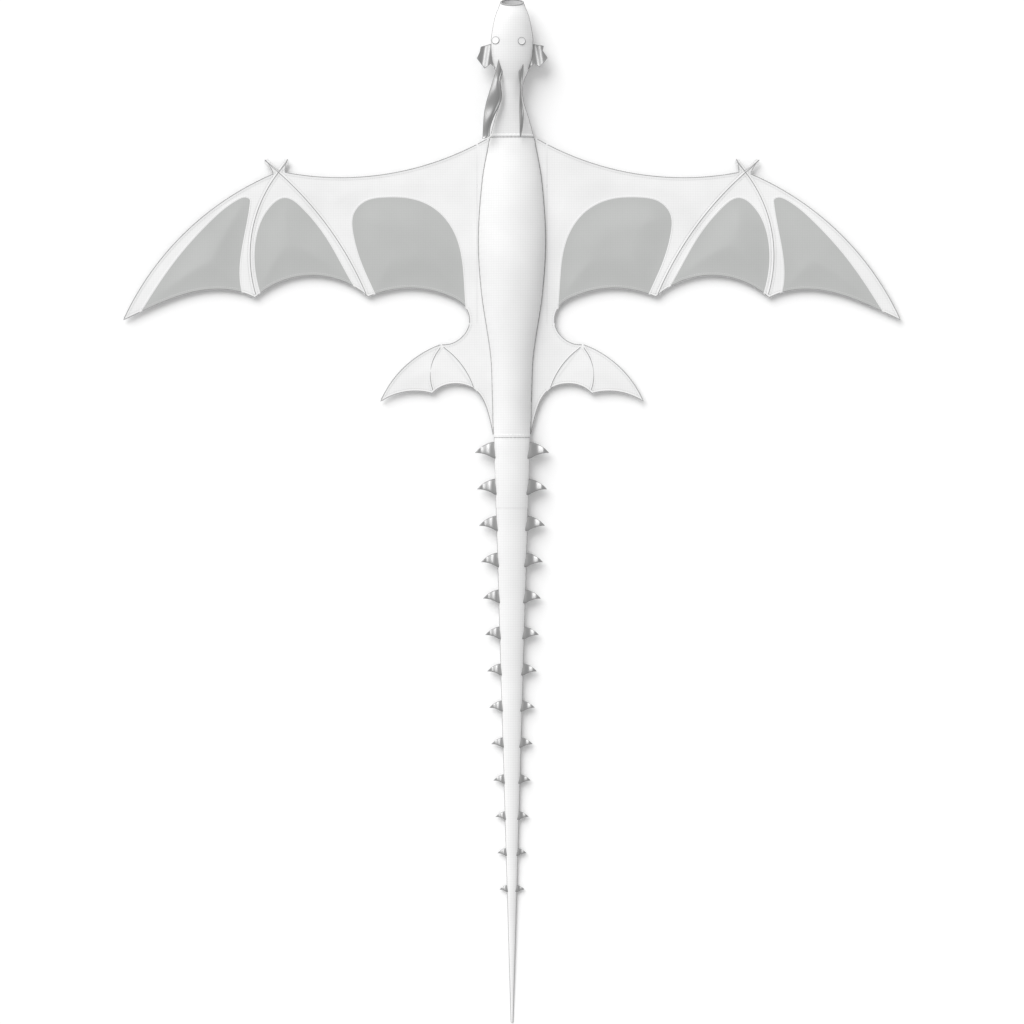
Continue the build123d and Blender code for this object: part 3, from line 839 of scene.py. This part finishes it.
# The ring tapes use the whiter twill: painted highlight bands beside the neck and rump seams.
seam_piece("neck_seam_highlight_tape", [ring_mesh(NECK[1] + 0.001, 0.006, 0.0007)], eye_and_highlight_white,
           ("body", "head"), NECK_ENDS)
seam_piece("neck_seam_cord", [ring_mesh(NECK[1] - 0.003, 0.0015, 0.0010)], piping_grey,
           ("body", "head"), NECK_ENDS)
seam_piece("rump_seam_highlight_tape", [ring_mesh(RUMP[1] + 0.004, 0.006, 0.0007)], eye_and_highlight_white,
           ("body", "tail_1"), RUMP_ENDS)
seam_piece("rump_seam_cord", [ring_mesh(RUMP[1] - 0.001, 0.0015, 0.0010)], piping_grey,
           ("body", "tail_1"), RUMP_ENDS)


SIDE_CORD, CORD_RISE = 0.0016, 0.0009
for k, bend in enumerate(bends):
    front = RUMP[1] - 0.002 if k == 0 else cuts[k]
    cords = [band_mesh(front, cuts[k + 1], 0.0036, turn, SIDE_CORD, CORD_RISE) for turn in (0.0, math.pi)]
    seam_piece(f"tail_side_cord_{k + 1}", cords, piping_grey, (names[k], names[k + 1]),
               ((0, bend[1] + BEND_HALF, bend[2]), (0, bend[1] - BEND_HALF, bend[2])))
head_cords = [band_mesh(HEAD_TOP_Y - 0.004, NECK[1], 0.0032, turn, SIDE_CORD, CORD_RISE)
              for turn in (0.0, math.pi)]
seam_piece("head_side_cord", head_cords, piping_grey, ("body", "head"), NECK_ENDS)


def side_line(sign, front, rear, off, step=0.005):
    rows = int((front - rear) / step)
    ys = [front + (rear - front) * i / rows for i in range(rows + 1)]
    return [Vector((sign * (tube_at(y)[0] + off), y)) for y in ys]


SEAM_FRONT, SEAM_REAR = NECK[1] - 0.006, RUMP[1] + 0.006
for side, sign in SIDES.items():
    line = side_line(sign, SEAM_FRONT, SEAM_REAR, 0.0)
    bind(f"body_seam_{side}", [line], False, sign * -0.0006, sign * 0.0026, "body", rows=(sign * 0.0016,))
    piping(f"body_seam_cord_{side}", [line], False, 0, "body", 0.0010, SAIL_TOP + 0.0006)

edge_lines = [orient(split_long(line, 0.0015)) for line in sheets["centre_sail"][:1]]


def centre_edge(p, clear=0.0016):
    """True on the free edges of the centre sail: not at its folds, seams or slot."""
    at_fold = abs(abs(p.x) - FOLD_X) < clear * 0.6 and p.y > NOTCH_Y - 0.001
    at_notch_cut = abs(p.y - NOTCH_Y) < 0.0012
    at_ends = p.y > NECK[1] - 0.006 or p.y < RUMP[1] + 0.006
    leg = sheets["leg_sail_right"][0]
    wrist = max(leg, key=lambda q: q.y)
    root = min(leg, key=lambda q: abs(q.x))
    seam = (wrist - root).normalized()
    off = Vector((abs(p.x), p.y)) - root
    at_leg = abs(off.x * seam.y - off.y * seam.x) < clear and root.y - 0.002 < p.y < wrist.y + 0.002
    return not (at_fold or at_notch_cut or at_ends or at_leg)


runs = [run for line in edge_lines for run in stretches(line, centre_edge)]
hem_runs = [run for line in edge_lines for run in stretches(line, lambda p: centre_edge(p, FOLD_CLEAR))]
bind("centre_hem", hem_runs, False, HEM, 0.0004, "body")
piping("centre_piping", runs, False, 0.0004, "body")
print("centre runs", len(runs), [round(path_length(run), 3) for run in runs])

# %% [markdown]
# ## Spikes
# Each spike is a small cone of satin, pinched flat toward its tip. Satin has long threads on
# its face, so a bent piece of it goes from bright to dark quickly. A cone primitive could be
# bent, but the outlines differ from pair to pair, so each spike is a row of rings: at every
# distance from the tail, the frame's outline gives the ring's front and rear.

# %% Tail spikes
def side_cut(line, x):
    """The highest and lowest y where a closed outline crosses the line at x."""
    found = []
    for a, b in zip(line, line[1:] + line[:1]):
        if (a.x > x) != (b.x > x):
            found.append(a.y + (b.y - a.y) * (x - a.x) / (b.x - a.x))
    return (max(found), min(found)) if len(found) > 1 else None


SPIKE_FOLD, FOLDS_ACROSS = 0.055, 2.857
FOLD_START = {1: 0.22, -1: -2.02}      # where the first fold lies, on the right and the left
SPIKE_LEAN = 0.26                       # the rear edge of a spike stands above its front edge


def spike_mesh(line, z, rings=22, around=18):
    sign = 1 if line[0].x > 0 else -1
    tip = max(line, key=lambda p: abs(p.x))
    root = min(abs(p.x) for p in line) + 0.0012
    reach = abs(tip.x) - root
    verts, faces = [], []
    for i in range(rings + 1):
        t = i / rings
        x = sign * (root + (reach - 0.0003) * (1 - (1 - t) ** 1.25))
        front, rear = side_cut(line, x) or (tip.y, tip.y)
        middle_y, half = (front + rear) / 2, (front - rear) / 2
        high = half * (0.26 - 0.08 * t)
        inner = x - sign * 0.005 if i == 0 else x
        for k in range(around):
            turn = 2 * math.pi * k / around
            fold = SPIKE_FOLD * reach * math.cos(FOLDS_ACROSS * math.pi * t + FOLD_START[sign])
            fold = (fold - SPIKE_LEAN * half * math.cos(turn)) * min(half / 0.006, 1)
            rise = high * math.copysign(abs(math.sin(turn)) ** 0.6, math.sin(turn))
            verts.append((inner, middle_y + half * math.cos(turn), z + fold + rise))
    for i in range(rings):
        for k in range(around):
            m = (k + 1) % around
            faces.append((i * around + k, i * around + m, (i + 1) * around + m, (i + 1) * around + k))
    faces.append(tuple(range(around)))
    faces.append(tuple(rings * around + k for k in reversed(range(around))))
    return verts, faces


spike_body = {n: body for body, group in frame["record"]["behaviour"]["bodies"].items() for n in group}
for node in sorted(n for n in nodes if n.startswith("tail_spikes")):
    loops, top = loops_of(node)
    low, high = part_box(node)
    obj = gather(f"{node}_satin", [spike_mesh(line, (low.z + high.z) / 2) for line in loops if len(line) > 4])
    face_outwards(obj)
    dress(obj, satin_grey, 80)
    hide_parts(node)
    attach(obj, spike_body[node])
print("spikes dressed:", sum(n.startswith("tail_spikes") for n in nodes))

# %% [markdown]
# ## Horns and ears
# The horns are long flat tubes of the same satin, sewn on behind the eyes and lying back over
# the neck, with one sharp fold along each. The ears are pleated fins. Both follow the frame's
# outlines: rings across a horn, and for an ear a net of cloth raised into soft folds that run
# along the head.

# %% Horns
def horn(side, fold_share, height):
    node = f"horn_{side}"
    low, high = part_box(node)
    z = (low.z + high.z) / 2
    rings, verts, faces = 60, [], []
    profile = [(0, 0), (0.16, 0.55), (fold_share, 1.0), (fold_share + 0.14, 0.30), (0.80, 0.62), (1, 0),
               (0.75, -0.34), (0.25, -0.34)]
    for i in range(rings + 1):
        y = high.y - 0.0015 - (high.y - low.y - 0.003) * i / rings
        x0, x1 = width_at(node, y)
        t = i / rings
        swell = height * (0.55 + 0.45 * math.sin(math.pi * min(t * 1.1, 1)))
        for across, up in profile:
            share = across + 0.05 * math.sin(t * 9 + across * 4) * (4 * across * (1 - across))
            share = min(max(share, 0), 1)
            wave = 0.0016 * math.sin(t * 17 + across * 2.5) if up else 0
            verts.append((x0 + (x1 - x0) * share, y, z + up * swell + wave))
    around = len(profile)
    for i in range(rings):
        for k in range(around):
            m = (k + 1) % around
            faces.append((i * around + k, i * around + m, (i + 1) * around + m, (i + 1) * around + k))
    faces.append(tuple(range(around)))
    faces.append(tuple(rings * around + k for k in reversed(range(around))))
    obj = new_mesh(f"horn_{side}_satin", verts, faces)
    face_outwards(obj)
    apply(obj, "SUBSURF", levels=2, render_levels=2)
    dress(obj, satin_grey, 80)
    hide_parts(node)
    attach(obj, "head")
    return obj


horn("left", 0.62, 0.0065)
horn("right", 0.38, 0.0070)
print("horns dressed")


# %% Ears
EAR_FOLD, EAR_PITCH, EAR_LEAN = 0.0019, 0.023, 0.22


def ear_fold(x, y):
    """How far the ear's cloth stands above its flat outline: soft folds along the head."""
    first = 0.0384 if x > 0 else 0.047
    turn = (abs(x) - first + 0.15 * (y - 0.935)) * 2 * math.pi / EAR_PITCH
    return EAR_FOLD * math.cos(turn) - EAR_LEAN * (y - 0.935)


def ear(side):
    node = f"ear_{side}"
    loops, top = loops_of(node)
    obj, area, size = cloth_net(f"ear_{side}_pleats", loops[:1], top - 0.001, 0.0, step=0.0016)
    for vertex in obj.data.vertices:
        vertex.co.z += ear_fold(vertex.co.x, vertex.co.y)
    dress(obj, satin_grey, 80)
    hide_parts(node)
    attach(obj, "head")
    edge_line = respaced(orient(loops[0]), 0.002, True)
    cord = gather(f"ear_{side}_edge", [bead_mesh(edge_line, True, 0.0003, top - 0.001, 0.0007)])
    face_outwards(cord)
    for vertex in cord.data.vertices:
        vertex.co.z += ear_fold(vertex.co.x, vertex.co.y)
    dress(cord, piping_grey, 60)
    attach(cord, "head")


for side in SIDES:
    ear(side)
print("ears pleated")

# %% [markdown]
# ## Eyes and mouth
# The eyes are round patches sewn onto the head, so each follows the curve of the skin. The
# mouth is held open by a bound hoop. A torus is added at the mouth, pulled to the mouth's
# oval, and leaned back like the lip of the sleeve.

# %% Eye patches
def skin_height(x, y):
    half, centre, rise, drop = tube_at(y)
    return centre + rise * math.sqrt(max(1 - (x / half) ** 2, 0.0))


def eye_patch(side):
    node = f"eye_{side}"
    low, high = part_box(node)
    cx, cy, radius = (low.x + high.x) / 2, (low.y + high.y) / 2, (high.x - low.x) / 2
    rings, around = 10, 40
    verts, faces = [(cx, cy, skin_height(cx, cy) + 0.0012)], []
    for i in range(1, rings + 1):
        r = radius * i / rings
        for k in range(around):
            x = cx + r * math.cos(2 * math.pi * k / around)
            y = cy + r * math.sin(2 * math.pi * k / around)
            rim = 0.0016 if 0.72 < i / rings < 0.95 else 0.0010
            verts.append((x, y, skin_height(x, y) + (rim if i < rings else -0.0008)))
    for k in range(around):
        m = (k + 1) % around
        faces.append((0, 1 + k, 1 + m))
        for i in range(rings - 1):
            a = 1 + i * around
            faces.append((a + k, a + around + k, a + around + m, a + m))
    obj = new_mesh(f"eye_{side}_patch", verts, faces)
    dress(obj, eye_and_highlight_white, 60)
    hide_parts(node)
    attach(obj, "head")
    verts, faces, sides, cord = [], [], 8, 0.0009
    for i in range(around):
        turn = 2 * math.pi * i / around
        for k in range(sides):
            r = radius - 0.0006 + cord * math.cos(2 * math.pi * k / sides)
            x, y = cx + r * math.cos(turn), cy + r * math.sin(turn)
            verts.append((x, y, skin_height(x, y) + 0.0006 + cord * math.sin(2 * math.pi * k / sides)))
            m, j = (k + 1) % sides, (i + 1) % around
            faces.append((i * sides + k, j * sides + k, j * sides + m, i * sides + m))
    ring = new_mesh(f"eye_{side}_rim", verts, faces)
    face_outwards(ring)
    dress(ring, eye_cloth, 60)
    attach(ring, "head")


for side in SIDES:
    eye_patch(side)


# %% Mouth hoop
half, centre, rise, drop = tube_at(HEAD_TOP_Y)
bpy.ops.object.select_all(action="DESELECT")
bpy.ops.mesh.primitive_torus_add(major_segments=96, minor_segments=14, major_radius=half, minor_radius=0.0013,
                                 location=(0, 0, 0), rotation=(math.pi / 2, 0, 0))
hoop = bpy.context.object
hoop.name = "mouth_binding"
bpy.ops.object.transform_apply(location=True, rotation=True, scale=True)
bpy.ops.object.mode_set(mode="EDIT")
bpy.ops.mesh.select_all(action="SELECT")
bpy.ops.transform.resize(value=(1, 1, rise / half), center_override=(0, 0, 0))
bpy.ops.object.mode_set(mode="OBJECT")
for vertex in hoop.data.vertices:
    lean = MOUTH_LEAN * (vertex.co.z / (2 * rise) + 0.5)
    vertex.co = (vertex.co.x, HEAD_TOP_Y - 0.0015 + vertex.co.y - lean, centre + vertex.co.z)
face_outwards(hoop)
dress(hoop, piping_grey, 60)
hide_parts("mouth_hoop")
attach(hoop, "head")
print("mouth hoop at", round(HEAD_TOP_Y, 4))

# %% [markdown]
# ## Rods and fittings
# The rods, fittings, ferrule and eyelet already have their true shapes in the frame, so they
# only need a finish. Pultruded glass rod shows fine streaks along its length, and moulded
# vinyl has a soft dull sheen. Where the spreader bends at the wing's fold, a length of
# flexible vinyl tube joins the rods.

# %% Finishes of the hard pieces
def streaked(name, color, roughness, along, **sockets):
    """A drawn or pultruded surface: fine streaks stretched along one axis."""
    material, principled = shader(name, color, roughness, **sockets)
    tree = material.node_tree
    coords = tree.nodes.new("ShaderNodeTexCoord")
    stretch = tree.nodes.new("ShaderNodeMapping")
    stretch.inputs["Scale"].default_value = along
    link(material, coords, "Object", stretch, "Vector")
    grain = tree.nodes.new("ShaderNodeTexNoise")
    grain.inputs["Scale"].default_value = 1.0
    grain.inputs["Detail"].default_value = 5.0
    link(material, stretch, "Vector", grain, "Vector")
    dark = tuple(c * 0.75 for c in color)
    light = tuple(min(c * 1.3, 1) for c in color)
    shade = ramp(material, grain.outputs["Fac"], 0.35, 0.65, dark, light)
    tree.links.new(shade, principled.inputs["Base Color"])
    relief = tree.nodes.new("ShaderNodeBump")
    relief.inputs["Strength"].default_value = 0.15
    relief.inputs["Distance"].default_value = 0.0002
    link(material, grain, "Fac", relief, "Height")
    tree.links.new(relief.outputs["Normal"], principled.inputs["Normal"])
    return material


glass_rod = streaked("glass_rod", (0.055, 0.055, 0.06), 0.35, (900, 60, 900))
vinyl_black = streaked("moulded_vinyl", (0.045, 0.045, 0.045), 0.55, (300, 300, 300))
drawn_metal = streaked("drawn_aluminium", (0.62, 0.62, 0.63), 0.32, (1500, 60, 1500), Metallic=1.0)
brass = streaked("eyelet_brass", (0.66, 0.48, 0.20), 0.3, (700, 700, 700), Metallic=1.0)
FINISHES = {"fibreglass": glass_rod, "vinyl": vinyl_black,
            "ferrule_metal": drawn_metal, "eyelet_metal": brass}
for part in frame["record"]["subparts"]:
    finish = FINISHES.get(part["material_slot"])
    if finish:
        mesh = nodes[part["node"]].data
        mesh.materials.clear()
        mesh.materials.append(finish)

# %% Flexible joiners
SPREADER_RADIUS = (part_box("spreader_centre")[1].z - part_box("spreader_centre")[0].z) / 2
for side, sign in SIDES.items():
    low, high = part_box(f"wing_joiner_{side}")
    y, z = (low.y + high.y) / 2, (low.z + high.z) / 2
    radius = (high.z - low.z) / 2
    length = high.x - low.x
    bpy.ops.object.select_all(action="DESELECT")
    bpy.ops.mesh.primitive_cylinder_add(vertices=32, radius=radius, depth=2 * length, end_fill_type="NOTHING",
                                        location=(sign * FOLD_X, y, z), rotation=(0, math.pi / 2, 0))
    tube = bpy.context.object
    tube.name = f"joiner_tube_{side}"
    bpy.ops.object.transform_apply(location=True, rotation=True, scale=True)
    apply(tube, "SOLIDIFY", thickness=radius - SPREADER_RADIUS - 0.0001, offset=-1)
    bpy.ops.object.mode_set(mode="EDIT")
    bpy.ops.mesh.select_all(action="SELECT")
    bpy.ops.mesh.subdivide(number_cuts=1)
    bpy.ops.object.mode_set(mode="OBJECT")
    work = bmesh.new()
    work.from_mesh(tube.data)
    for k in range(1, 24):
        place = sign * FOLD_X + length * (2 * k / 24 - 1)
        bmesh.ops.bisect_plane(work, geom=work.verts[:] + work.edges[:] + work.faces[:],
                               plane_co=(place, 0, 0), plane_no=(1, 0, 0))
    work.to_mesh(tube.data)
    work.free()
    face_outwards(tube)
    dress(tube, vinyl_black, 40)
    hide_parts(f"wing_joiner_{side}")
    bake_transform(tube)
